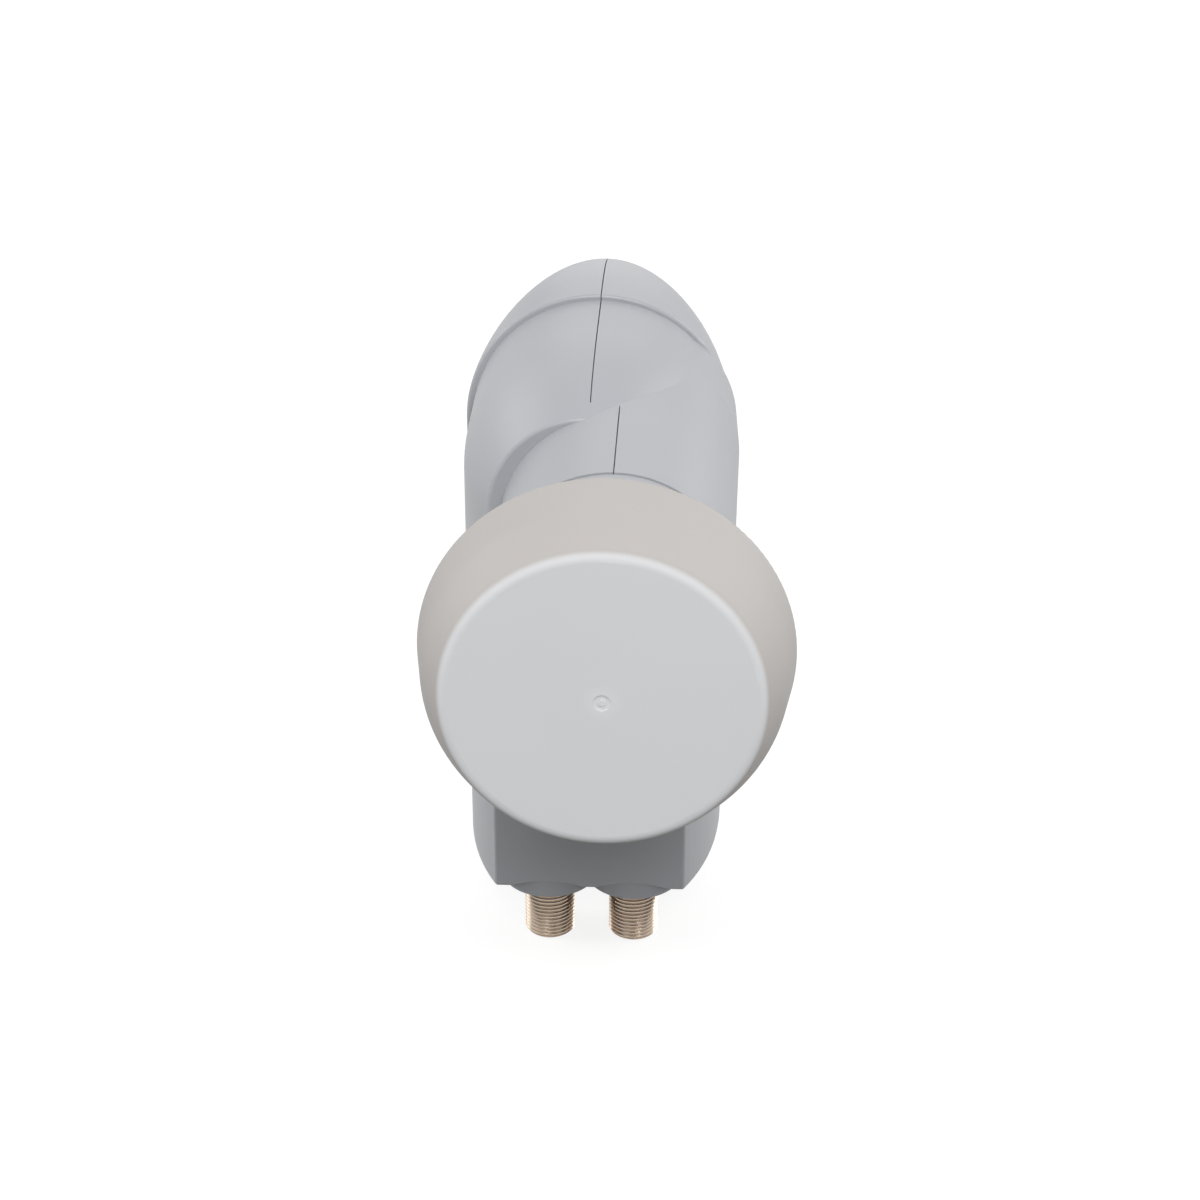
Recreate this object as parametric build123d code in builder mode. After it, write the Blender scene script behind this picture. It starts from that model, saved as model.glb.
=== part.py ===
from build123d import *
import os

os.makedirs("parts", exist_ok=True)

# Frame: x to the right, y back along the feed axis, z up, origin in the middle of the clamp neck.
# Sizes are in millimetres.

# Sizes that other makers' parts have to meet.
neck_radius = 20.0
neck_length = 24.0
thread_radius = 9.525 / 2
thread_length = 12.4
thread_relief = 0.3
waveguide_radius = 8.75

# Room between pieces: flat faces that seat, round faces that slip, and the seam between the shells.
seat_gap = 0.1
slip_gap = 0.25
seam_gap = 0.2

# Feed cap.
cap_wall = 1.8
cap_front = -29.5
cap_rim = -neck_length / 2
cap_bend = cap_front + 7.0
cap_rim_radius = 30.5
cap_bend_radius = cap_rim_radius - 1.6
cap_face_radius = cap_rim_radius - 4.9
cap_edge_radius = 2.2
cap_bend_blend = 14.0
cap_rim_edge = 0.6
cap_catch = 0.4
gate_radius = 1.4
gate_depth = 0.2

# Housing shells.
wall = 2.0
collar_front = neck_length / 2
collar_front_radius = neck_radius + 0.3
collar_radius = 21.3
collar_taper = 0.5
collar_taper_start = 66.0
body_x = -5.1
body_front = 34.5
body_front_half = 17.7
body_front_crown = 20.0
body_full = 66.5
body_half = 24.3
body_flare = 2.5
body_bottom = -76.0
hood_front = 80.5
hood_x = -5.4
hood_half = 25.3
hood_rear = 118.5
hood_rear_half = 11.2
hood_rear_crown = 18.2
hood_close = 1.8
hood_fall = 2.8
leg_rear = 66.0
leg_back = 76.0
hood_under = -25.0
hood_under_rear = -19.3
leg_blend = 26.0
edge_radius = 0.7
hood_lip = 0.5
nose_radius = 4.0
clear_of_shells = 2 * hood_half
jog_y = 38.8
panel_top = -collar_radius - 1
lip_reach = 1.5
lip_skin = 1.15

# Coax connectors, side by side under the body.
connector_y = 43.5
connector_pitch = 16.1
connector_xs = {"left": body_x - connector_pitch / 2, "right": body_x + connector_pitch / 2}
pad_radius = 8.9
pad_height = 3.8
pad_drop = 2.2
pad_arch_half = 7.2
pad_arch_height = 1.4
pad_arch_radius = (pad_arch_half**2 + pad_arch_height**2) / (2 * pad_arch_height)
pad_bottom = body_bottom - pad_drop
thread_end = pad_bottom - thread_length

# Die casting: horn, neck, waveguide and board tray.
horn_front = cap_front + cap_wall + seat_gap
horn_rim_radius = neck_radius
choke_wall = 1.5
choke_width = 1.9
choke_depth = 8.5
horn_mouth = horn_rim_radius - 3 * choke_wall - 2 * choke_width
horn_throat = 4.5
flange_radius = cap_bend_radius - cap_wall
flange_front = -20.0
flange_rear = -15.3
spigot_radius = collar_front_radius - wall - 0.4
spigot_end = 27.5
tube_radius = 12.0
tube_wall = 2.0
tray_front = body_front + wall + 0.3
tray_floor = 2.5
tray_wall = 2.0
tray_rear = 50.5
tray_inset = 1.5
tray_half = body_front_half - tray_inset
tray_spring = body_front_crown - body_front_half - 0.3
tray_bottom = -70.0
tray_base = 6.0
boss_radius = 3.2
boss_side = tray_half - 3.8
boss_crown = tray_spring + tray_half - 3.6
boss_places = [(x, z) for z in (-59.0, -27.0) for x in (-boss_side, boss_side)] + [(-2.0, boss_crown)]

# Board, lid and what is fixed to them.
board_front = 44.0
board_thickness = 0.8
board_rear = board_front + board_thickness
gasket_thickness = 0.8
lid_front = tray_rear + gasket_thickness
lid_thickness = 2.5
lid_rear = lid_front + lid_thickness
rib_thickness = 1.5
rib_heights = [-15.5, -43.0]
rib_end_gap = 1.0
probe_width = 1.6
probe_length = 9.5
probe_tip = 2.6
probe_thickness = 0.4
probe_slot = probe_width + 1.0
probe_slot_length = 8.0
probe_slot_depth = probe_thickness + 0.8
absorber_thickness = 1.0
absorber_margin = 6.0
absorber_rib_gap = 2.0
screw_radius = 1.25
screw_length = 11.0
head_radius = 2.4
head_height = 1.7
drive_length = 3.2
drive_width = 0.6
drive_depth = 0.9
capacitor_columns = [-7.0, 7.0]
capacitor_rows = [-29.0, -33.0, -37.0, -47.0, -50.0, -53.0]

# Sealing rings.
seal_radius = 1.0
seal_groove = 2 * seal_radius + 0.3
cap_seal_y = -18.2
cap_seal_ring = flange_radius - 0.6
collar_seal_y = 16.7
collar_seal_ring = spigot_radius - 0.6
shell_rib_y = 23.0
shell_rib_width = 2.6
shell_rib_radius = spigot_radius - 2.2
connector_seal_height = 1.5
connector_seal_outer = 7.0

# Inside the coax connectors.
bore_radius = 3.3
contact_radius = 0.5
contact_top = tray_bottom + tray_base + 7
connector_flange_radius = 6.3
connector_flange_chamfer = 0.6
connector_flange = body_bottom + wall + connector_seal_height
spigot_top = tray_bottom + tray_base


def across(y):
    """Plane square to the feed axis at y, drawn in x and z."""
    return Plane.XZ.offset(-y)


def body_half_at(y):
    """Half the body's width at y, along the arc of its flank."""
    left = max(body_full - y, 0) / (body_full - body_front)
    return body_half - (body_half - body_front_half) * left**body_flare


def body_crown_at(y):
    """Height of the body's top line at y."""
    left = max(body_full - y, 0) / (body_full - body_front)
    return body_half - (body_half - body_front_crown) * left**body_flare


def collar_radius_at(y):
    """Collar's radius at y, where it drafts."""
    along = (y - collar_front) / (collar_taper_start - collar_front)
    return collar_front_radius + (collar_radius - collar_front_radius) * along


def hood_half_at(y):
    """Half the hood's width at y, where it closes like a bow."""
    along = (y - hood_front) / (hood_rear - hood_front)
    return hood_half - (hood_half - hood_rear_half) * along**hood_close


def hood_crown_at(y):
    """Height of the hood's ridge at y."""
    along = (y - hood_front) / (hood_rear - hood_front)
    return hood_half - (hood_half - hood_rear_crown) * along**hood_fall


def arch(y, x, half, crown):
    """Upright outline at y with a round top."""
    spring = crown - half
    low = body_bottom - nose_radius
    with BuildSketch(across(y)) as outline:
        with BuildLine():
            Line((x - half, low), (x - half, spring))
            ThreePointArc((x - half, spring), (x, crown), (x + half, spring))
            Line((x + half, spring), (x + half, low))
            Line((x + half, low), (x - half, low))
        make_face()
    return outline.sketch


def body_section(y, inset):
    """Body outline at y, drawn in by inset."""
    return arch(y, body_x, body_half_at(y) - inset, body_crown_at(y) - inset)


def hood_section(y, inset):
    """Hood outline at y, drawn in by inset."""
    return arch(y, hood_x, hood_half_at(y) - inset, hood_crown_at(y) - inset)


def housing(inset):
    """Solid form of both shells together, with every face drawn in by inset."""
    body_start = body_front + inset
    hood_start = hood_front + 0.7 * inset
    hood_end = hood_rear - inset
    body_ys = [body_start + (body_full - body_start) * step / 3 for step in range(4)]
    hood_ys = [hood_start + (hood_end - hood_start) * step / 4 for step in range(5)]
    with BuildPart() as form:
        loft([hood_section(y, inset) for y in hood_ys])
        nose = form.faces().sort_by(Axis.Y)[-1]
        fillet(nose.edges().filter_by(lambda edge: edge.center().Z > body_bottom), nose_radius - inset)
        if inset == 0:
            step = form.faces().sort_by(Axis.Y)[0]
            fillet(step.edges().filter_by(lambda edge: edge.center().Z > body_bottom), hood_lip)
        loft([body_section(y, inset) for y in body_ys])
        with BuildSketch(across(body_full)):
            add(body_section(body_full, inset))
        extrude(amount=body_full - hood_front - wall)
        with BuildSketch(Plane.YZ) as side:
            with BuildLine():
                Polyline(
                    (collar_front, body_bottom),
                    (leg_rear, body_bottom),
                    (leg_back, hood_under),
                    (2 * hood_rear - leg_back, 2 * hood_under_rear - hood_under),
                    (2 * hood_rear - leg_back, clear_of_shells),
                    (collar_front, clear_of_shells),
                    close=True,
                )
            make_face()
            fillet(side.vertices().sort_by_distance((leg_back, hood_under))[0], leg_blend)
            fillet(side.vertices().sort_by_distance((leg_rear, body_bottom))[0], leg_blend / 3)
            offset(amount=-inset, mode=Mode.REPLACE)
        extrude(amount=clear_of_shells, both=True, mode=Mode.INTERSECT)
        with BuildSketch():
            with BuildLine():
                Polyline(
                    (0, collar_front - inset),
                    (collar_front_radius - inset, collar_front - inset),
                    (collar_radius - inset, collar_taper_start),
                    (collar_radius - collar_taper - inset, hood_front + 1),
                    (0, hood_front + 1),
                    close=True,
                )
            make_face()
        revolve(axis=Axis.Y)
    return form.part


def board_outline(margin):
    """Outline that the tray, board, gasket and lid share, grown by margin."""
    half = tray_half - tray_wall + margin
    low = tray_bottom + tray_base - margin
    with BuildSketch() as outline:
        with BuildLine():
            Line((body_x - half, low), (body_x - half, tray_spring))
            RadiusArc((body_x - half, tray_spring), (body_x + half, tray_spring), half)
            Line((body_x + half, tray_spring), (body_x + half, low))
            Line((body_x + half, low), (body_x - half, low))
        make_face()
        Circle(waveguide_radius + tube_wall + slip_gap + margin)
    return outline.sketch


# Cap over the horn: flat front, soft front edge, two-slope side and a snap rib behind the horn's flange.
with BuildPart() as feed_cap:
    with BuildSketch() as cap_profile:
        with BuildLine():
            Polyline(
                (0, cap_front),
                (cap_face_radius, cap_front),
                (cap_bend_radius, cap_bend),
                (cap_rim_radius, cap_rim),
                (cap_rim_radius - cap_wall, cap_rim),
                (cap_bend_radius - cap_wall, cap_bend),
                (cap_face_radius - cap_wall, cap_front + cap_wall),
                (0, cap_front + cap_wall),
                close=True,
            )
        make_face()
        fillet(cap_profile.vertices().group_by(Axis.Y)[0].sort_by(Axis.X)[-1], cap_edge_radius)
        fillet(cap_profile.vertices().group_by(Axis.Y)[-1].sort_by(Axis.X)[-1], cap_rim_edge)
        bend = cap_profile.vertices().filter_by_position(Axis.Y, cap_bend - 0.1, cap_bend + 0.1)
        fillet(bend.sort_by(Axis.X)[-1], cap_bend_blend)
    revolve(axis=Axis.Y)
    with BuildSketch():
        with BuildLine():
            Polyline(
                (flange_radius - cap_catch, flange_rear + slip_gap),
                (cap_rim_radius - cap_wall / 2, flange_rear + slip_gap),
                (cap_rim_radius - cap_wall / 2, cap_rim - cap_wall / 2),
                (cap_rim_radius - cap_wall - cap_catch, cap_rim - cap_wall / 2),
                close=True,
            )
        make_face()
    revolve(axis=Axis.Y)
    with BuildSketch(across(cap_front)):
        Circle(gate_radius)
    extrude(amount=-gate_depth, mode=Mode.SUBTRACT)
    with BuildSketch(across(cap_front + gate_depth)):
        Circle(gate_radius / 2.5)
    extrude(amount=gate_depth)
feed_cap.part.label = "feed_cap"
export_step(feed_cap.part, "parts/feed_cap.step")

# Ring between the cap and the horn's flange.
with BuildPart() as cap_seal:
    with BuildSketch():
        with Locations((cap_seal_ring, cap_seal_y)):
            Circle(seal_radius)
    revolve(axis=Axis.Y)
cap_seal.part.label = "cap_seal"
export_step(cap_seal.part, "parts/cap_seal.step")

# One casting: choke rings, horn, clamp neck, waveguide and the tray that carries the board.
with BuildPart() as feed_casting:
    with BuildSketch():
        with BuildLine():
            Polyline(
                (0, horn_front),
                (horn_rim_radius, horn_front),
                (horn_rim_radius, flange_front),
                (flange_radius, flange_front),
                (flange_radius, flange_rear),
                (neck_radius, flange_rear),
                (neck_radius, collar_front - seat_gap),
                (spigot_radius, collar_front - seat_gap),
                (spigot_radius, spigot_end),
                (tube_radius, spigot_end + 4),
                (tube_radius, tray_front + 1),
                (0, tray_front + 1),
                close=True,
            )
        make_face()
    revolve(axis=Axis.Y)
    with BuildSketch():
        for y, inner in (
            (cap_seal_y, cap_seal_ring - seal_radius - seat_gap),
            (collar_seal_y, collar_seal_ring - seal_radius - seat_gap),
        ):
            with Locations((inner, y)):
                Rectangle(5, seal_groove, align=(Align.MIN, Align.CENTER))
        with Locations((shell_rib_radius - slip_gap, shell_rib_y)):
            Rectangle(5, shell_rib_width + 2 * slip_gap, align=(Align.MIN, Align.CENTER))
        for inner in (horn_mouth + choke_wall, horn_rim_radius - choke_wall - choke_width):
            with Locations((inner, horn_front)):
                Rectangle(choke_width, choke_depth, align=Align.MIN)
    revolve(axis=Axis.Y, mode=Mode.SUBTRACT)
    with BuildSketch(across(tray_front)):
        add(board_outline(tray_wall))
        with Locations((body_x, tray_bottom)):
            Rectangle(2 * tray_half, tray_base, align=(Align.CENTER, Align.MIN))
    extrude(amount=tray_front - tray_rear)
    with BuildSketch(across(tray_front + tray_floor)):
        add(board_outline(0))
    extrude(amount=tray_front + tray_floor - tray_rear, mode=Mode.SUBTRACT)
    with BuildSketch(across(tray_front + tray_floor)):
        Circle(waveguide_radius + tube_wall)
    extrude(amount=tray_front + tray_floor - board_front + seat_gap)
    with BuildSketch(across(tray_front + tray_floor)):
        with Locations([(body_x + x, z) for x, z in boss_places]):
            Circle(boss_radius)
    extrude(amount=tray_front + tray_floor - tray_rear)
    with BuildSketch(across(tray_rear)):
        with Locations([(body_x + x, z) for x, z in boss_places]):
            Circle(screw_radius + seat_gap)
    extrude(amount=screw_length, mode=Mode.SUBTRACT)
    with BuildSketch(Plane.XY.offset(tray_bottom)):
        with Locations([(x, connector_y) for x in connector_xs.values()]):
            Circle(thread_radius + slip_gap)
    extrude(amount=tray_base, mode=Mode.SUBTRACT)
    with BuildSketch():
        with BuildLine():
            Polyline(
                (0, horn_front),
                (horn_mouth, horn_front),
                (waveguide_radius, horn_throat),
                (waveguide_radius, tray_rear),
                (0, tray_rear),
                close=True,
            )
        make_face()
    revolve(axis=Axis.Y, mode=Mode.SUBTRACT)
feed_casting.part.label = "feed_casting"
export_step(feed_casting.part, "parts/feed_casting.step")

# Ring between the casting's spigot and the collar of the shells.
with BuildPart() as collar_seal:
    with BuildSketch():
        with Locations((collar_seal_ring, collar_seal_y)):
            Circle(seal_radius)
    revolve(axis=Axis.Y)
collar_seal.part.label = "collar_seal"
export_step(collar_seal.part, "parts/collar_seal.step")

# Both shells in one, with pads for the sockets under arches in the front, and a rib that holds the casting.
housing_outside = housing(0)
housing_inside = housing(wall)
with BuildPart() as whole_shell:
    add(housing_outside)
    face = whole_shell.faces().filter_by(Axis.Y).sort_by_distance((body_x, body_front, body_bottom))[0]
    floor = whole_shell.faces().filter_by(Axis.Z).sort_by(Axis.Z)[0]
    soft_edges = face.edges().filter_by(lambda edge: edge.center().Z < body_bottom / 3)
    soft_edges += floor.edges().filter_by(lambda edge: 2 < edge.center().Y - body_front < 20)
    front_corner = Vector(body_x - body_front_half, body_front_crown - body_front_half)
    front_ledge = front_corner.length - collar_radius_at(body_front)
    fillet(soft_edges, min(edge_radius, front_ledge / 2))
    with BuildSketch(across(body_front)):
        with Locations([(x, body_bottom + pad_arch_height - pad_arch_radius) for x in connector_xs.values()]):
            Circle(pad_arch_radius)
    extrude(amount=body_front - connector_y, mode=Mode.SUBTRACT)
    with BuildSketch(Plane.XY.offset(pad_bottom)):
        with Locations([(x, connector_y) for x in connector_xs.values()]):
            Circle(pad_radius)
    extrude(amount=pad_height)
    add(housing_inside, mode=Mode.SUBTRACT)
    with BuildSketch():
        with Locations((shell_rib_radius, shell_rib_y)):
            Rectangle(
                collar_front_radius - wall / 2 - shell_rib_radius,
                shell_rib_width,
                align=(Align.MIN, Align.CENTER),
            )
    revolve(axis=Axis.Y)
    with BuildSketch(Plane.XY.offset(pad_bottom)):
        with Locations([(x, connector_y) for x in connector_xs.values()]):
            Circle(thread_radius + slip_gap)
    extrude(amount=pad_drop + wall + 1, mode=Mode.SUBTRACT)


def left_of_seam(reach, panel_reach):
    """Block of the left shell: its whole front panel, and what is left of the jogged seam above that."""
    with BuildPart() as block:
        with BuildSketch(Plane.XY.offset(thread_end)):
            with BuildLine():
                Polyline(
                    (-clear_of_shells, collar_front),
                    (clear_of_shells, collar_front),
                    (clear_of_shells, body_front + wall + panel_reach),
                    (body_x + reach, body_front + wall + panel_reach),
                    (body_x + reach, hood_rear + wall),
                    (-clear_of_shells, hood_rear + wall),
                    close=True,
                )
            make_face()
        extrude(amount=panel_top + panel_reach - thread_end)
        with BuildSketch(Plane.XY.offset(panel_top + panel_reach)):
            with BuildLine():
                Polyline(
                    (-clear_of_shells, collar_front),
                    (reach, collar_front),
                    (reach, jog_y),
                    (body_x + reach, jog_y),
                    (body_x + reach, hood_rear + wall),
                    (-clear_of_shells, hood_rear + wall),
                    close=True,
                )
            make_face()
        extrude(amount=clear_of_shells - panel_top - panel_reach)
    return block.part


# Lip on the left shell that closes the seam from inside.
with BuildPart() as seam_lip:
    add(housing(lip_skin))
    add(housing_inside, mode=Mode.SUBTRACT)
    add(left_of_seam(lip_reach, lip_reach), mode=Mode.INTERSECT)
    add(left_of_seam(-lip_reach, -lip_reach), mode=Mode.SUBTRACT)

with BuildPart() as left_shell:
    add(whole_shell.part)
    add(left_of_seam(0, 0), mode=Mode.INTERSECT)
    add(seam_lip.part)
left_shell.part.label = "left_shell"
export_step(left_shell.part, "parts/left_shell.step")

# Rebate in the right shell that takes the lip.
with BuildPart() as seam_rebate:
    add(housing(lip_skin - slip_gap))
    add(left_of_seam(lip_reach + slip_gap, lip_reach + slip_gap), mode=Mode.INTERSECT)

with BuildPart() as right_shell:
    add(whole_shell.part)
    add(left_of_seam(seam_gap, 0), mode=Mode.SUBTRACT)
    add(seam_rebate.part, mode=Mode.SUBTRACT)
right_shell.part.label = "right_shell"
export_step(right_shell.part, "parts/right_shell.step")


def upright(x, z):
    """Plane at a socket's axis, drawn in radius and height above z."""
    return Plane(origin=(x, connector_y, z), x_dir=(1, 0, 0), z_dir=(0, -1, 0))


# Sockets, each with a flange under the casting, an insulator and a spring contact.
for side, x in connector_xs.items():
    axis = Axis((x, connector_y, 0), (0, 0, 1))
    with BuildPart() as connector:
        with BuildSketch(upright(x, 0)) as connector_profile:
            with BuildLine():
                Polyline(
                    (bore_radius, thread_end),
                    (thread_radius, thread_end),
                    (thread_radius, pad_bottom - thread_relief),
                    (thread_radius - thread_relief, pad_bottom - thread_relief),
                    (thread_radius - thread_relief, connector_flange),
                    (connector_flange_radius, connector_flange),
                    (connector_flange_radius, tray_bottom - seat_gap),
                    (thread_radius, tray_bottom - seat_gap),
                    (thread_radius, spigot_top),
                    (bore_radius, spigot_top),
                    close=True,
                )
            make_face()
            flange_corners = connector_profile.vertices().group_by(Axis.X)[-1]
            chamfer(flange_corners.sort_by(Axis.Y)[0], connector_flange_chamfer)
        revolve(axis=axis)
    connector.part.label = f"{side}_connector"
    export_step(connector.part, f"parts/{side}_connector.step")

    with BuildPart() as insulator:
        with BuildSketch(Plane.XY.offset(thread_end + 0.8)):
            with Locations((x, connector_y)):
                Circle(bore_radius - seat_gap)
                Circle(contact_radius + seat_gap, mode=Mode.SUBTRACT)
        extrude(amount=spigot_top - thread_end - 0.8)
    insulator.part.label = f"{side}_insulator"
    export_step(insulator.part, f"parts/{side}_insulator.step")

    with BuildPart() as contact:
        with BuildSketch(Plane.XY.offset(thread_end + 3)):
            with Locations((x, connector_y)):
                Circle(contact_radius)
        extrude(amount=contact_top - thread_end - 3)
    contact.part.label = f"{side}_contact"
    export_step(contact.part, f"parts/{side}_contact.step")

# Flat rubber rings between the sockets' flanges and the floor of the shells.
with BuildPart() as connector_seals:
    with BuildSketch(Plane.XY.offset(body_bottom + wall)):
        with Locations([(x, connector_y) for x in connector_xs.values()]):
            Circle(connector_seal_outer)
            Circle(thread_radius + slip_gap, mode=Mode.SUBTRACT)
    extrude(amount=connector_seal_height)
connector_seals.part.label = "connector_seals"
export_step(connector_seals.part, "parts/connector_seals.step")

# Board that stands across the feed axis in the tray, notched round the screw bosses.
with BuildPart() as circuit_board:
    with BuildSketch(across(board_front)):
        add(board_outline(-slip_gap))
        with Locations([(body_x + x, z) for x, z in boss_places]):
            Circle(boss_radius + slip_gap, mode=Mode.SUBTRACT)
    extrude(amount=-board_thickness)
circuit_board.part.label = "circuit_board"
export_step(circuit_board.part, "parts/circuit_board.step")

# Probes on the board's rear face, one from below and one from the left, reaching into the waveguide.
with BuildPart() as vertical_probe:
    with BuildSketch(across(board_rear)):
        with Locations((0, -probe_tip)):
            Rectangle(probe_width, probe_length, align=(Align.CENTER, Align.MAX))
    extrude(amount=-probe_thickness)
vertical_probe.part.label = "vertical_probe"
export_step(vertical_probe.part, "parts/vertical_probe.step")

with BuildPart() as horizontal_probe:
    with BuildSketch(across(board_rear)):
        with Locations((-probe_tip, 0)):
            Rectangle(probe_length, probe_width, align=(Align.MAX, Align.CENTER))
    extrude(amount=-probe_thickness)
horizontal_probe.part.label = "horizontal_probe"
export_step(horizontal_probe.part, "parts/horizontal_probe.step")

# Parts soldered on the board's rear face: name, width, height, depth and places from the body's middle.
board_parts = {
    "amplifier_transistors": ((2.2, 1.3, 0.9), [(-10.2, -3), (-10.2, -8), (-3.5, -13), (9, -13)]),
    "converter_chips": ((5.0, 5.0, 0.9), [(-4.5, -21), (4.5, -21)]),
    "crystal": ((3.2, 2.5, 0.8), [(0, -28.5)]),
    "control_chip": ((6.0, 5.0, 1.6), [(0, -36)]),
    "regulator": ((6.5, 3.6, 1.7), [(0, -48)]),
    "chip_capacitors": (
        (1.6, 0.8, 0.8),
        [(x, z) for x in capacitor_columns for z in capacitor_rows],
    ),
}
for name, ((width, height, depth), places) in board_parts.items():
    with BuildPart() as soldered:
        with BuildSketch(across(board_rear)):
            with Locations([(body_x + x, z) for x, z in places]):
                Rectangle(width, height)
        extrude(amount=-depth)
    soldered.part.label = name
    export_step(soldered.part, f"parts/{name}.step")

# Rubber gasket on the tray's rim and boss ends.
with BuildPart() as lid_gasket:
    with BuildSketch(across(tray_rear)):
        add(board_outline(tray_wall))
        add(board_outline(0), mode=Mode.SUBTRACT)
        with Locations([(body_x + x, z) for x, z in boss_places]):
            Circle(boss_radius)
            Circle(screw_radius + seat_gap, mode=Mode.SUBTRACT)
    extrude(amount=-gasket_thickness)
lid_gasket.part.label = "lid_gasket"
export_step(lid_gasket.part, "parts/lid_gasket.step")

# Cast lid with the cup that ends the waveguide and two ribs that part the board's stages.
with BuildPart() as shield_lid:
    with BuildSketch(across(lid_front)):
        add(board_outline(tray_wall))
    extrude(amount=-lid_thickness)
    with BuildSketch(across(board_rear + seat_gap)):
        Circle(waveguide_radius + tube_wall)
        for z in rib_heights:
            with Locations((body_x, z)):
                Rectangle(2 * (tray_half - tray_wall - rib_end_gap), rib_thickness)
    extrude(amount=board_rear + seat_gap - lid_front)
    with BuildSketch(across(board_rear + seat_gap)):
        Circle(waveguide_radius)
    extrude(amount=board_rear + seat_gap - lid_front, mode=Mode.SUBTRACT)
    with BuildSketch(across(board_rear)):
        with Locations((0, -waveguide_radius)):
            Rectangle(probe_slot, probe_slot_length)
        with Locations((-waveguide_radius, 0)):
            Rectangle(probe_slot_length, probe_slot)
    extrude(amount=-probe_slot_depth, mode=Mode.SUBTRACT)
    with BuildSketch(across(lid_front)):
        with Locations([(body_x + x, z) for x, z in boss_places]):
            Circle(screw_radius + slip_gap)
    extrude(amount=-lid_thickness, mode=Mode.SUBTRACT)
shield_lid.part.label = "shield_lid"
export_step(shield_lid.part, "parts/shield_lid.step")

# Sheet glued inside the lid between the ribs, which damps stray signals.
with BuildPart() as absorber_pad:
    with BuildSketch(across(lid_front)):
        with Locations((body_x, sum(rib_heights) / 2)):
            Rectangle(
                2 * (tray_half - tray_wall - absorber_margin),
                rib_heights[0] - rib_heights[1] - 2 * absorber_rib_gap,
            )
    extrude(amount=absorber_thickness)
absorber_pad.part.label = "absorber_pad"
export_step(absorber_pad.part, "parts/absorber_pad.step")

# Screws through the lid into the tray's bosses.
with BuildPart() as lid_screws:
    with BuildSketch(across(lid_rear)):
        with Locations([(body_x + x, z) for x, z in boss_places]):
            Circle(head_radius)
    extrude(amount=-head_height)
    with BuildSketch(across(lid_rear)):
        with Locations([(body_x + x, z) for x, z in boss_places]):
            Circle(screw_radius)
    extrude(amount=screw_length)
    with BuildSketch(across(lid_rear + head_height)):
        with Locations([(body_x + x, z) for x, z in boss_places]):
            Rectangle(drive_length, drive_width)
            Rectangle(drive_width, drive_length)
    extrude(amount=drive_depth, mode=Mode.SUBTRACT)
lid_screws.part.label = "lid_screws"
export_step(lid_screws.part, "parts/lid_screws.step")
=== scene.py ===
# %% [markdown]
# # A satellite receiver head, dressed for the camera
# The CAD model already holds the real shapes: a feed cap, two moulded shells, a cast neck and two sockets.
# In this lesson Blender adds what a drawing leaves out: the cut thread and the finish of each surface.
# The first step loads the CAD model as a fixed frame.
# Its box is kept.

# %% Load the frame
import math

import bpy
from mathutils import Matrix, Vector


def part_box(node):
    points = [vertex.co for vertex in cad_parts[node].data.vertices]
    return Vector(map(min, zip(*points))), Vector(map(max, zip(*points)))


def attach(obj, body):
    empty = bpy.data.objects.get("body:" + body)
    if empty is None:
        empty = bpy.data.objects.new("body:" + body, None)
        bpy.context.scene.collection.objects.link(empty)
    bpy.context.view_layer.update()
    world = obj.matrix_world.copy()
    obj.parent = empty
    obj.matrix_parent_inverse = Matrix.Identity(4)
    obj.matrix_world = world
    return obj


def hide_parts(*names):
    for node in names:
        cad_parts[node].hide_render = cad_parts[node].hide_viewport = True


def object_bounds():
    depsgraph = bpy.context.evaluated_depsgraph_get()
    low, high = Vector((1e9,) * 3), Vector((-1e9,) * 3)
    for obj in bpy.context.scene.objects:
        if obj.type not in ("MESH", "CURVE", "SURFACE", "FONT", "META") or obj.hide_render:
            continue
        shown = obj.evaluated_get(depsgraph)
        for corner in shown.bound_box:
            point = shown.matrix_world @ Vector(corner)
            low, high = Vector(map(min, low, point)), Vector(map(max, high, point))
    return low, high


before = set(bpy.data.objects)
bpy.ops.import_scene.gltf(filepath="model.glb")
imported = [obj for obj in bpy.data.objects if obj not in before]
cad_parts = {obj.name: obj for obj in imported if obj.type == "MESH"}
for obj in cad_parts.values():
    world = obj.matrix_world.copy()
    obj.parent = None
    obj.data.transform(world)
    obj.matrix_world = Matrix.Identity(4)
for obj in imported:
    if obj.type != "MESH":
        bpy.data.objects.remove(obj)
cad_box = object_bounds()
mm = 0.001
sides = [round(side / mm, 1) for side in cad_box[1] - cad_box[0]]
print("CAD nodes:", len(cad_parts), "box in mm:", sides)

# %% [markdown]
# ## Helpers for colours, nodes and materials
# Colours are given as sRGB hex values, but shader nodes work in linear light.
# One function converts them. A second adds a node together with its settings and links.
# A third starts a material and sets the values that are the same all over directly on its shader.


# %% Colour, node and material helpers
def linear(hex_colour):
    """sRGB hex colour as linear RGBA."""
    channels = [int(hex_colour[i : i + 2], 16) / 255 for i in (1, 3, 5)]
    return [c / 12.92 if c <= 0.04045 else ((c + 0.055) / 1.055) ** 2.4 for c in channels] + [1.0]


def add_node(material, kind, inputs=None, **settings):
    """Adds a node, sets its properties, and fills its inputs with values or with other nodes' outputs."""
    node = material.node_tree.nodes.new(kind)
    for name, value in settings.items():
        setattr(node, name, value)
    for socket, value in (inputs or {}).items():
        if isinstance(value, bpy.types.NodeSocket):
            material.node_tree.links.new(value, node.inputs[socket])
        else:
            node.inputs[socket].default_value = value
    return node


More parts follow.
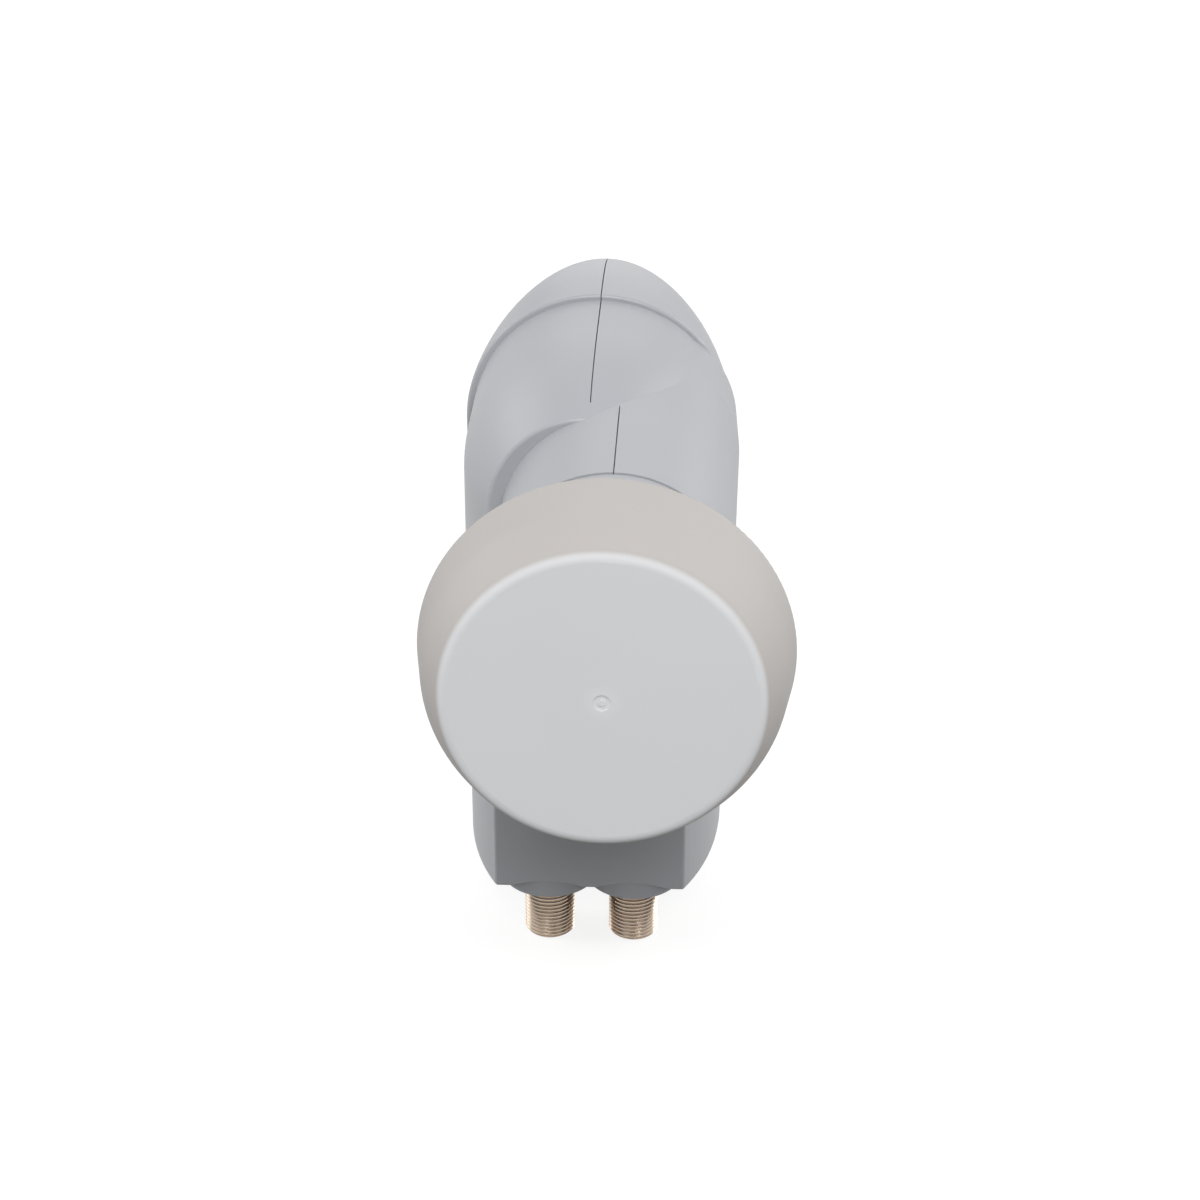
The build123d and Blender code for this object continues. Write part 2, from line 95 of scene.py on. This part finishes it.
def start_material(name, roughness, metallic=0.0, ior=None):
    """Material with its shader's constant values set, that shader, and the place on the object."""
    material = bpy.data.materials.new(name)
    material.use_nodes = True
    shader = material.node_tree.nodes["Principled BSDF"]
    shader.inputs["Roughness"].default_value = roughness
    shader.inputs["Metallic"].default_value = metallic
    if ior:
        shader.inputs["IOR"].default_value = ior
    return material, shader, add_node(material, "ShaderNodeTexCoord").outputs["Object"]


def link(material, output, socket):
    """Joins an output to the socket it feeds."""
    material.node_tree.links.new(output, socket)


print("a mid grey of #808080 is", round(linear("#808080")[0], 3), "in linear light")

# %% [markdown]
# ## Helpers for patterns
# Every finish here is a blend of tones with a fine relief, so these steps are written once.
# A noise is given by the width of its patches, because that can be measured on a real part.


# %% Pattern helpers
def noise(material, place, width, detail):
    """Noise from 0 to 1 whose patches are about as wide as given."""
    inputs = {"Vector": place, "Scale": 1 / width, "Detail": detail}
    return add_node(material, "ShaderNodeTexNoise", inputs).outputs["Fac"]


def blend(material, factor, first, second, blend_type="MIX"):
    """Colour between a first and a second one."""
    inputs = {"Factor": factor, "A": first, "B": second}
    return add_node(material, "ShaderNodeMix", inputs, data_type="RGBA", blend_type=blend_type).outputs["Result"]


def roughen(material, shader, place, width, detail, strength, depth):
    """Gives the shader a bump of the given width and depth."""
    height = noise(material, place, width, detail)
    inputs = {"Height": height, "Strength": strength, "Distance": depth}
    link(material, add_node(material, "ShaderNodeBump", inputs).outputs["Normal"], shader.inputs["Normal"])


def math_node(material, operation, *values):
    """Result of one sum on values or on other nodes' outputs."""
    return add_node(material, "ShaderNodeMath", dict(enumerate(values)), operation=operation).outputs[0]


def from_feed_axis(material, place):
    """Distance from the feed axis, which is the Y axis."""
    across = add_node(material, "ShaderNodeVectorMath", {0: place, 1: (1, 0, 1)}, operation="MULTIPLY")
    return add_node(material, "ShaderNodeVectorMath", {0: across.outputs[0]}, operation="LENGTH").outputs["Value"]


print("pattern helpers ready")

# %% [markdown]
# ## Moulded plastic of the shells
# The shells are injection moulded from a weatherproof plastic such as ASA, in a cool mid grey.
# The steel mould is spark eroded, which leaves an even, fine grain, so the gloss is low.
# Two noises do this. A fine one drives the bump.
# A broad one moves the colour a little, as thick and thin walls do.
# The real grain is about 0.15 mm wide, which is under a pixel here, so it is drawn at 0.45 mm.

# %% Shell plastic
grain = 0.45 * mm
drift = 28 * mm
skin_depth = 0.02 * mm

shell_plastic, shader, place = start_material("moulded_asa_cool_grey", roughness=0.4, ior=1.52)
cloud = noise(shell_plastic, place, drift, 2.0)
tint = blend(shell_plastic, cloud, linear("#9EA0A4"), linear("#A5A7AB"))
link(shell_plastic, tint, shader.inputs["Base Color"])
roughen(shell_plastic, shader, place, grain, 3.0, 0.35, skin_depth)
print("shell grain is", grain / mm, "mm wide")

# %% [markdown]
# ## Moulded plastic of the feed cap
# The cap sits in front of the horn, so its plastic lets microwaves through, as polypropylene does.
# It is paler and duller than the shells.
# The front is thin, to lose little signal. Its colour is painted paler than the side's: painted light on the
# front and painted shade on the side, of one plastic.
# The place along Y, the feed axis, blends those two tones over the rounded edge.
# Plastic enters the mould through the gate in the middle of the front, and leaves a faint ring of blush.
# The distance from the feed axis drives that ring.

# %% Cap plastic
edge_front, edge_back = -29.45 * mm, -28.6 * mm
blush_start, blush_end, blush_strength = 1.2 * mm, 3.4 * mm, 0.5
cap_grain = 0.7 * mm

cap_plastic, shader, place = start_material("moulded_polypropylene_pale_grey", roughness=0.7, ior=1.49)
cloud = noise(cap_plastic, place, drift, 2.0)
along = add_node(cap_plastic, "ShaderNodeSeparateXYZ", {0: place}).outputs["Y"]
# Painted light and shade: this blends the lit front tone into the shaded side tone over the rounded edge.
lit_to_shaded_blend = add_node(
    cap_plastic,
    "ShaderNodeMapRange",
    {"Value": along, "From Min": edge_front, "From Max": edge_back},
    interpolation_type="SMOOTHSTEP",
)
# Painted light: one plastic, given a lit tone on the front and a shaded tone on the side.
lit_front_tone = blend(cap_plastic, cloud, linear("#D6D7D9"), linear("#DADBDD"))
shaded_side_tone = blend(cap_plastic, cloud, linear("#AEAAA7"), linear("#B4B0AD"))
tint = blend(cap_plastic, lit_to_shaded_blend.outputs["Result"], lit_front_tone, shaded_side_tone)
blush = add_node(
    cap_plastic,
    "ShaderNodeMapRange",
    {
        "Value": from_feed_axis(cap_plastic, place),
        "From Min": blush_start,
        "From Max": blush_end,
        "To Min": blush_strength,
        "To Max": 0.0,
    },
)
ringed = blend(cap_plastic, blush.outputs["Result"], tint, linear("#E2E3E4"))
link(cap_plastic, ringed, shader.inputs["Base Color"])
roughen(cap_plastic, shader, place, cap_grain, 2.0, 0.2, skin_depth)
print("blush ring reaches", round(blush_end / mm, 1), "mm from the gate")

# %% [markdown]
# ## Plated metal of the sockets
# Coax sockets are turned from brass and plated with nickel, which is a warmer grey than chrome.
# The roots of the thread are painted darker and browner than the crests, as painted shade in the grooves.
# The two sockets stand one pitch apart, so wrapping X by that pitch lets one material serve both.
# The groove is cut a little shallower than the standard says, because the photo's thread looks soft.

# %% Plated socket metal
socket_y = 43.5 * mm
socket_pitch = 16.1 * mm
socket_x = -5.1 * mm - socket_pitch / 2
crest = 9.525 / 2 * mm
thread_step = 25.4 / 32 * mm
root = crest - 0.42 * thread_step
tarnish_patch = 1.8 * mm

socket_metal, shader, place = start_material("nickel_plated_brass", roughness=0.24, metallic=1.0)
split = add_node(socket_metal, "ShaderNodeSeparateXYZ", {0: place})
wrap_to, wrap_from = socket_x + socket_pitch / 2, socket_x - socket_pitch / 2
across = math_node(socket_metal, "WRAP", split.outputs["X"], wrap_to, wrap_from)
from_x = math_node(socket_metal, "SUBTRACT", across, socket_x)
from_y = math_node(socket_metal, "SUBTRACT", split.outputs["Y"], socket_y)
spoke = add_node(socket_metal, "ShaderNodeCombineXYZ", {0: from_x, 1: from_y})
radius = add_node(socket_metal, "ShaderNodeVectorMath", {0: spoke.outputs[0]}, operation="LENGTH")
# Painted shade: the colour darkens towards the thread roots, by the distance from the socket's axis.
root_shade = add_node(
    socket_metal,
    "ShaderNodeMapRange",
    {"Value": radius.outputs["Value"], "From Min": root, "From Max": crest},
)
# Painted shade: a darker, browner colour at the roots and a lighter one at the crests.
root_shaded_tint = blend(socket_metal, root_shade.outputs["Result"], linear("#BEAE9D"), linear("#DFD0C1"))
tarnish = noise(socket_metal, place, tarnish_patch, 1.0)
stain = blend(socket_metal, tarnish, linear("#FFFFFF"), linear("#EFE9E2"))
blotched = blend(socket_metal, 1.0, root_shaded_tint, stain, blend_type="MULTIPLY")
dull = add_node(
    socket_metal,
    "ShaderNodeMapRange",
    {"Value": tarnish, "From Min": 0.3, "From Max": 0.7, "To Min": 0.2, "To Max": 0.28},
)
link(socket_metal, blotched, shader.inputs["Base Color"])
link(socket_metal, dull.outputs["Result"], shader.inputs["Roughness"])
print("thread step", round(thread_step / mm, 3), "mm, root radius", round(root / mm, 3), "mm")

# %% [markdown]
# ## Painted casting
# The neck that the arm clamps is part of an aluminium die casting, with a dull, slightly mottled skin.
# Where it shows it is painted in the shells' grey, with the faint orange peel of sprayed paint.
# Paint stops at the shells, so the distance from the feed axis and the place along it tell paint from metal.

# %% Die casting with a painted neck
paint_inside, paint_end = 19 * mm, 12 * mm
mottle_patch = 3 * mm
peel_grain = 0.8 * mm

neck_casting, shader, place = start_material("die_cast_aluminium_with_sprayed_neck", roughness=0.45)
along = add_node(neck_casting, "ShaderNodeSeparateXYZ", {0: place}).outputs["Y"]
outside = math_node(neck_casting, "GREATER_THAN", from_feed_axis(neck_casting, place), paint_inside)
ahead = math_node(neck_casting, "LESS_THAN", along, paint_end)
painted = math_node(neck_casting, "MULTIPLY", outside, ahead)
bare = math_node(neck_casting, "SUBTRACT", 1.0, painted)
mottle = noise(neck_casting, place, mottle_patch, 4.0)
metal_tone = blend(neck_casting, mottle, linear("#9FA2A5"), linear("#B4B7B9"))
paint_tone = blend(neck_casting, mottle, linear("#A2A3A7"), linear("#A7A8AC"))
link(neck_casting, blend(neck_casting, painted, metal_tone, paint_tone), shader.inputs["Base Color"])
link(neck_casting, bare, shader.inputs["Metallic"])
roughen(neck_casting, shader, place, peel_grain, 2.0, 0.3, skin_depth)
print("paint on the neck ends", round(paint_end / mm), "mm behind its middle")

# %% [markdown]
# ## Finishes of the pieces behind the shells
# The rest is closed in, but each piece still gets its own finish: rubber, insulator, board, copper and so on.
# They share one recipe: a colour that drifts between two tones, and a bump at the grain of that material.
# Each row gives the two tones, roughness, metalness, and the grain's width and depth in mm.

# %% Grained finishes
finishes = {
    "die_cast_aluminium": ("#9FA2A5", "#B4B7B9", 0.42, 1.0, 0.5, 0.03),
    "black_seal_rubber": ("#151515", "#1F1F1E", 0.75, 0.0, 0.4, 0.02),
    "grey_absorber_rubber": ("#26272A", "#303236", 0.85, 0.0, 0.6, 0.05),
    "white_ptfe": ("#E4E4E0", "#EFEFEB", 0.38, 0.0, 0.8, 0.01),
    "green_solder_mask": ("#1C5230", "#24643C", 0.34, 0.0, 1.2, 0.01),
    "bright_copper": ("#B4714C", "#C68660", 0.30, 1.0, 0.6, 0.01),
    "black_epoxy": ("#18191B", "#232427", 0.55, 0.0, 0.3, 0.01),
    "drawn_steel_can": ("#B3B4B5", "#C3C4C5", 0.26, 1.0, 0.5, 0.005),
    "brown_ceramic": ("#7F6A55", "#927C64", 0.48, 0.0, 0.25, 0.01),
    "zinc_plated_steel": ("#A6A8AB", "#BCBEC1", 0.32, 1.0, 0.5, 0.01),
}
grains_per_patch = 6
made = {}
for name, (dark, light, roughness, metallic, grain_mm, depth_mm) in finishes.items():
    material, shader, place = start_material(name, roughness, metallic)
    cloud = noise(material, place, grains_per_patch * grain_mm * mm, 4.0)
    link(material, blend(material, cloud, linear(dark), linear(light)), shader.inputs["Base Color"])
    roughen(material, shader, place, grain_mm * mm, 3.0, 0.5, depth_mm * mm)
    made[name] = material
print("finishes made:", ", ".join(made))

# %% [markdown]
# ## Give each CAD piece its finish
# The CAD meshes stay as they are. Only their material slots change.

# %% Dress the CAD nodes
dress = {
    "feed_cap": cap_plastic,
    "left_shell": shell_plastic,
    "right_shell": shell_plastic,
    "feed_casting": neck_casting,
    "shield_lid": made["die_cast_aluminium"],
    "cap_seal": made["black_seal_rubber"],
    "collar_seal": made["black_seal_rubber"],
    "connector_seals": made["black_seal_rubber"],
    "lid_gasket": made["black_seal_rubber"],
    "absorber_pad": made["grey_absorber_rubber"],
    "left_insulator": made["white_ptfe"],
    "right_insulator": made["white_ptfe"],
    "left_contact": made["bright_copper"],
    "right_contact": made["bright_copper"],
    "left_connector": socket_metal,
    "right_connector": socket_metal,
    "circuit_board": made["green_solder_mask"],
    "horizontal_probe": made["bright_copper"],
    "vertical_probe": made["bright_copper"],
    "amplifier_transistors": made["black_epoxy"],
    "converter_chips": made["black_epoxy"],
    "control_chip": made["black_epoxy"],
    "regulator": made["black_epoxy"],
    "crystal": made["drawn_steel_can"],
    "chip_capacitors": made["brown_ceramic"],
    "lid_screws": made["zinc_plated_steel"],
}
for name, material in dress.items():
    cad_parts[name].material_slots[0].material = material
print("nodes dressed:", len(dress), "of", len(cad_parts))

# %% [markdown]
# ## Sockets with a cut thread
# A real socket is turned on a lathe and its thread is cut with 32 turns to the inch.
# A ring of bumps would look right from afar, but it wouldn't climb, so here the lathe's steps are followed.
# First an outline in the XZ plane is spun round the socket's axis.
# Then a small V is carried round by the Screw modifier.
# A Boolean takes that V out of the turned body, as the cutting tool does.
# The Boolean needs closed bodies, so both ends of the carried V are filled.


# %% Empty and closed pieces
def empty_piece(name):
    """Piece without any points yet, at the origin."""
    bpy.ops.object.select_all(action="DESELECT")
    bpy.ops.mesh.primitive_plane_add(size=1, location=(0, 0, 0))
    piece = bpy.context.object
    piece.name = piece.data.name = name
    bpy.ops.object.mode_set(mode="EDIT")
    bpy.ops.mesh.delete(type="VERT")
    bpy.ops.object.mode_set(mode="OBJECT")
    return piece


def close_piece():
    """Welds the active piece's seams, fills its open ends and turns its faces outward."""
    bpy.ops.object.mode_set(mode="EDIT")
    bpy.ops.mesh.select_all(action="SELECT")
    bpy.ops.mesh.remove_doubles(threshold=0.001 * mm)
    bpy.ops.mesh.fill_holes(sides=4)
    bpy.ops.mesh.normals_make_consistent(inside=False)
    bpy.ops.object.mode_set(mode="OBJECT")


print("piece helpers ready")

# %% Turn the socket on a lathe
low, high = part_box("left_connector")
socket_end = low.z
pad_face = -78.2 * mm
bore = 3.3 * mm
chamfer = 0.6 * mm
relief_cut = 0.3 * mm
flange_under, flange_over, flange_out = -72.5 * mm, -70.1 * mm, 6.3 * mm
outline = [
    (bore, socket_end),
    (crest - chamfer, socket_end),
    (crest, socket_end + chamfer),
    (crest, pad_face - relief_cut),
    (crest - relief_cut, pad_face - relief_cut),
    (crest - relief_cut, flange_under),
    (flange_out, flange_under),
    (flange_out, flange_over),
    (crest, flange_over),
    (crest, high.z),
    (bore, high.z),
]

left_socket = empty_piece("left_socket")
ring = [(socket_x + radius, socket_y, height) for radius, height in outline]
left_socket.data.from_pydata(ring, [(i, (i + 1) % len(ring)) for i in range(len(ring))], [])
bpy.ops.object.mode_set(mode="EDIT")
bpy.ops.mesh.select_all(action="SELECT")
bpy.ops.mesh.spin(steps=96, angle=math.tau, center=(socket_x, socket_y, 0), axis=(0, 0, 1))
bpy.ops.object.mode_set(mode="OBJECT")
close_piece()
print("turned socket:", len(left_socket.data.polygons), "faces, from", round(socket_end / mm, 1), "mm up")

# %% Carry the V of the thread round
turns = 17
groove_half = 0.44 * thread_step
flat_half = 0.06 * thread_step
past_crest = crest + 0.03 * mm
groove = [(root, -flat_half), (past_crest, -groove_half), (past_crest, groove_half), (root, flat_half)]

cutter = empty_piece("thread_cutter")
cutter.data.from_pydata([(radius, 0, height) for radius, height in groove], [], [(0, 1, 2, 3)])
screw = cutter.modifiers.new("Screw", "SCREW")
screw.axis = "Z"
screw.angle = math.tau
screw.screw_offset = thread_step
screw.iterations = turns
screw.steps = screw.render_steps = 72
bpy.ops.object.modifier_apply(modifier=screw.name)
cutter.location = (socket_x, socket_y, socket_end - thread_step)
bpy.ops.object.transform_apply(location=True)
close_piece()
print("cutter:", len(cutter.data.polygons), "faces over", turns, "turns")

# %% Take the groove out of the socket
bpy.ops.object.select_all(action="DESELECT")
bpy.context.view_layer.objects.active = left_socket
left_socket.select_set(True)
cut = left_socket.modifiers.new("Thread", "BOOLEAN")
cut.operation = "DIFFERENCE"
cut.solver = "EXACT"
cut.object = cutter
bpy.ops.object.modifier_apply(modifier=cut.name)
bpy.data.objects.remove(cutter)
bpy.ops.object.shade_smooth_by_angle(angle=math.radians(25))
left_socket.data.materials.clear()
left_socket.data.materials.append(socket_metal)
print("left socket:", len(left_socket.data.polygons), "faces")

# %% Copy it to the second place
bpy.ops.object.duplicate()
right_socket = bpy.context.object
right_socket.name = right_socket.data.name = "right_socket"
right_socket.location.x += socket_pitch
bpy.ops.object.transform_apply(location=True)
for socket, node in ((left_socket, "left_connector"), (right_socket, "right_connector")):
    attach(socket, "root")
    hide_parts(node)
print("sockets stand", round(socket_pitch / mm, 1), "mm apart")

# %% [markdown]
# ## Floor, light and camera
# The photo is lit from high in front, so the cap shades the front below it.
# Weaker light comes from both sides and from behind.
# So one large lamp stands high in front, and lower ones to the left, to the right and behind.
# The side lamps are kept out of reflections, because they would draw broad white bands on the threads.
# Two narrow strips give the metal its upright glints instead.
# The floor and the world look white to the camera, and a little less so in reflections.
# To all other rays they are dim, so that little light comes back up to the underside.
# Far from the lamps the floor would turn grey, so its own glow grows with the distance.

# %% White for the camera
gloss_share = 0.75


def seen_white(material):
    """How white a ray sees the surroundings: 1 from the camera, less in reflections, otherwise 0."""
    rays = add_node(material, "ShaderNodeLightPath").outputs
    gloss = math_node(material, "MULTIPLY", rays["Is Glossy Ray"], gloss_share)
    seen = math_node(material, "MAXIMUM", rays["Is Camera Ray"], gloss)
    return math_node(material, "MAXIMUM", seen, rays["Is Transmission Ray"])


print("reflections see", gloss_share, "of the white")

# %% Floor
floor_size = 8
near, far = 0.3, 1.4
near_glow, far_glow = 0.8, 1.0

bpy.ops.object.select_all(action="DESELECT")
bpy.ops.mesh.primitive_plane_add(size=floor_size, location=(0, 0, cad_box[0].z))
floor = bpy.context.object
floor.name = "floor"
bpy.ops.object.transform_apply(location=True)
paper = bpy.data.materials.new("white_paper")
paper.use_nodes = True
paper.node_tree.nodes.remove(paper.node_tree.nodes["Principled BSDF"])
matt = add_node(paper, "ShaderNodeBsdfDiffuse", {"Color": linear("#888888")})
place = add_node(paper, "ShaderNodeTexCoord").outputs["Object"]
away = add_node(paper, "ShaderNodeVectorMath", {0: place}, operation="LENGTH").outputs["Value"]
level = add_node(
    paper,
    "ShaderNodeMapRange",
    {"Value": away, "From Min": near, "From Max": far, "To Min": near_glow, "To Max": far_glow},
)
glow = add_node(
    paper, "ShaderNodeEmission", {"Color": linear("#FFFFFF"), "Strength": level.outputs["Result"]}
)
bright = add_node(paper, "ShaderNodeAddShader", {0: matt.outputs[0], 1: glow.outputs[0]})
both = add_node(paper, "ShaderNodeMixShader", {0: seen_white(paper), 1: matt.outputs[0], 2: bright.outputs[0]})
link(paper, both.outputs[0], paper.node_tree.nodes["Material Output"].inputs["Surface"])
floor.data.materials.append(paper)
print("floor at", round(cad_box[0].z / mm, 1), "mm")

# %% World
world = bpy.data.worlds.new("studio")
bpy.context.scene.world = world
world.use_nodes = True
base = add_node(world, "ShaderNodeBackground", {"Color": linear("#FFFFFF"), "Strength": 0.12})
white = add_node(world, "ShaderNodeBackground", {"Color": linear("#FFFFFF"), "Strength": 1.0})
mixed = add_node(world, "ShaderNodeMixShader", {0: seen_white(world), 1: base.outputs[0], 2: white.outputs[0]})
link(world, mixed.outputs[0], world.node_tree.nodes["World Output"].inputs["Surface"])
print("world set")

# %% Lamps
lamp_aim = Vector((0, 0.03, -0.01))
lamp_distance = 1.3


def softbox(name, azimuth, elevation, width, height, watts, mirrored=True):
    """Area lamp that faces the object, at angles in degrees from the front and from level."""
    lamp = bpy.data.lights.new(name, "AREA")
    lamp.shape = "RECTANGLE"
    lamp.size = width
    lamp.size_y = height
    lamp.energy = watts
    holder = bpy.data.objects.new(name, lamp)
    bpy.context.scene.collection.objects.link(holder)
    turn, rise = math.radians(azimuth), math.radians(elevation)
    away = Vector((math.sin(turn) * math.cos(rise), -math.cos(turn) * math.cos(rise), math.sin(rise)))
    holder.location = lamp_aim + lamp_distance * away
    holder.rotation_euler = (-away).to_track_quat("-Z", "Y").to_euler()
    holder.visible_glossy = mirrored


softbox("front_box", 4, 47, 0.7, 0.7, 15.0)
softbox("left_box", -95, 25, 0.7, 0.7, 8.4, mirrored=False)
softbox("right_box", 95, 25, 0.7, 0.7, 6.4, mirrored=False)
softbox("right_rear_box", 130, 25, 0.7, 0.7, 4.8)
softbox("left_rear_box", -130, 25, 0.7, 0.7, 2.0)
softbox("rear_box", 180, 15, 0.7, 0.7, 1.0)
softbox("left_strip", -47, 10, 0.1, 0.8, 0.4)
softbox("right_strip", 47, 10, 0.1, 0.8, 0.4)

# %% Camera
pitch, yaw = math.radians(27.146), math.radians(2.569)
camera = bpy.data.cameras.new("camera")
camera.lens = 81
camera.sensor_width = 36
camera.clip_start = 0.01
holder = bpy.data.objects.new("camera", camera)
bpy.context.scene.collection.objects.link(holder)
holder.location = (16.02 * mm, -392.57 * mm, 204.28 * mm)
forward = Vector((-math.sin(yaw) * math.cos(pitch), math.cos(yaw) * math.cos(pitch), -math.sin(pitch)))
holder.rotation_euler = forward.to_track_quat("-Z", "Y").to_euler()
bpy.context.scene.camera = holder
bpy.context.scene.view_settings.view_transform = "Standard"
print("camera looks down by", round(math.degrees(pitch), 1), "degrees")
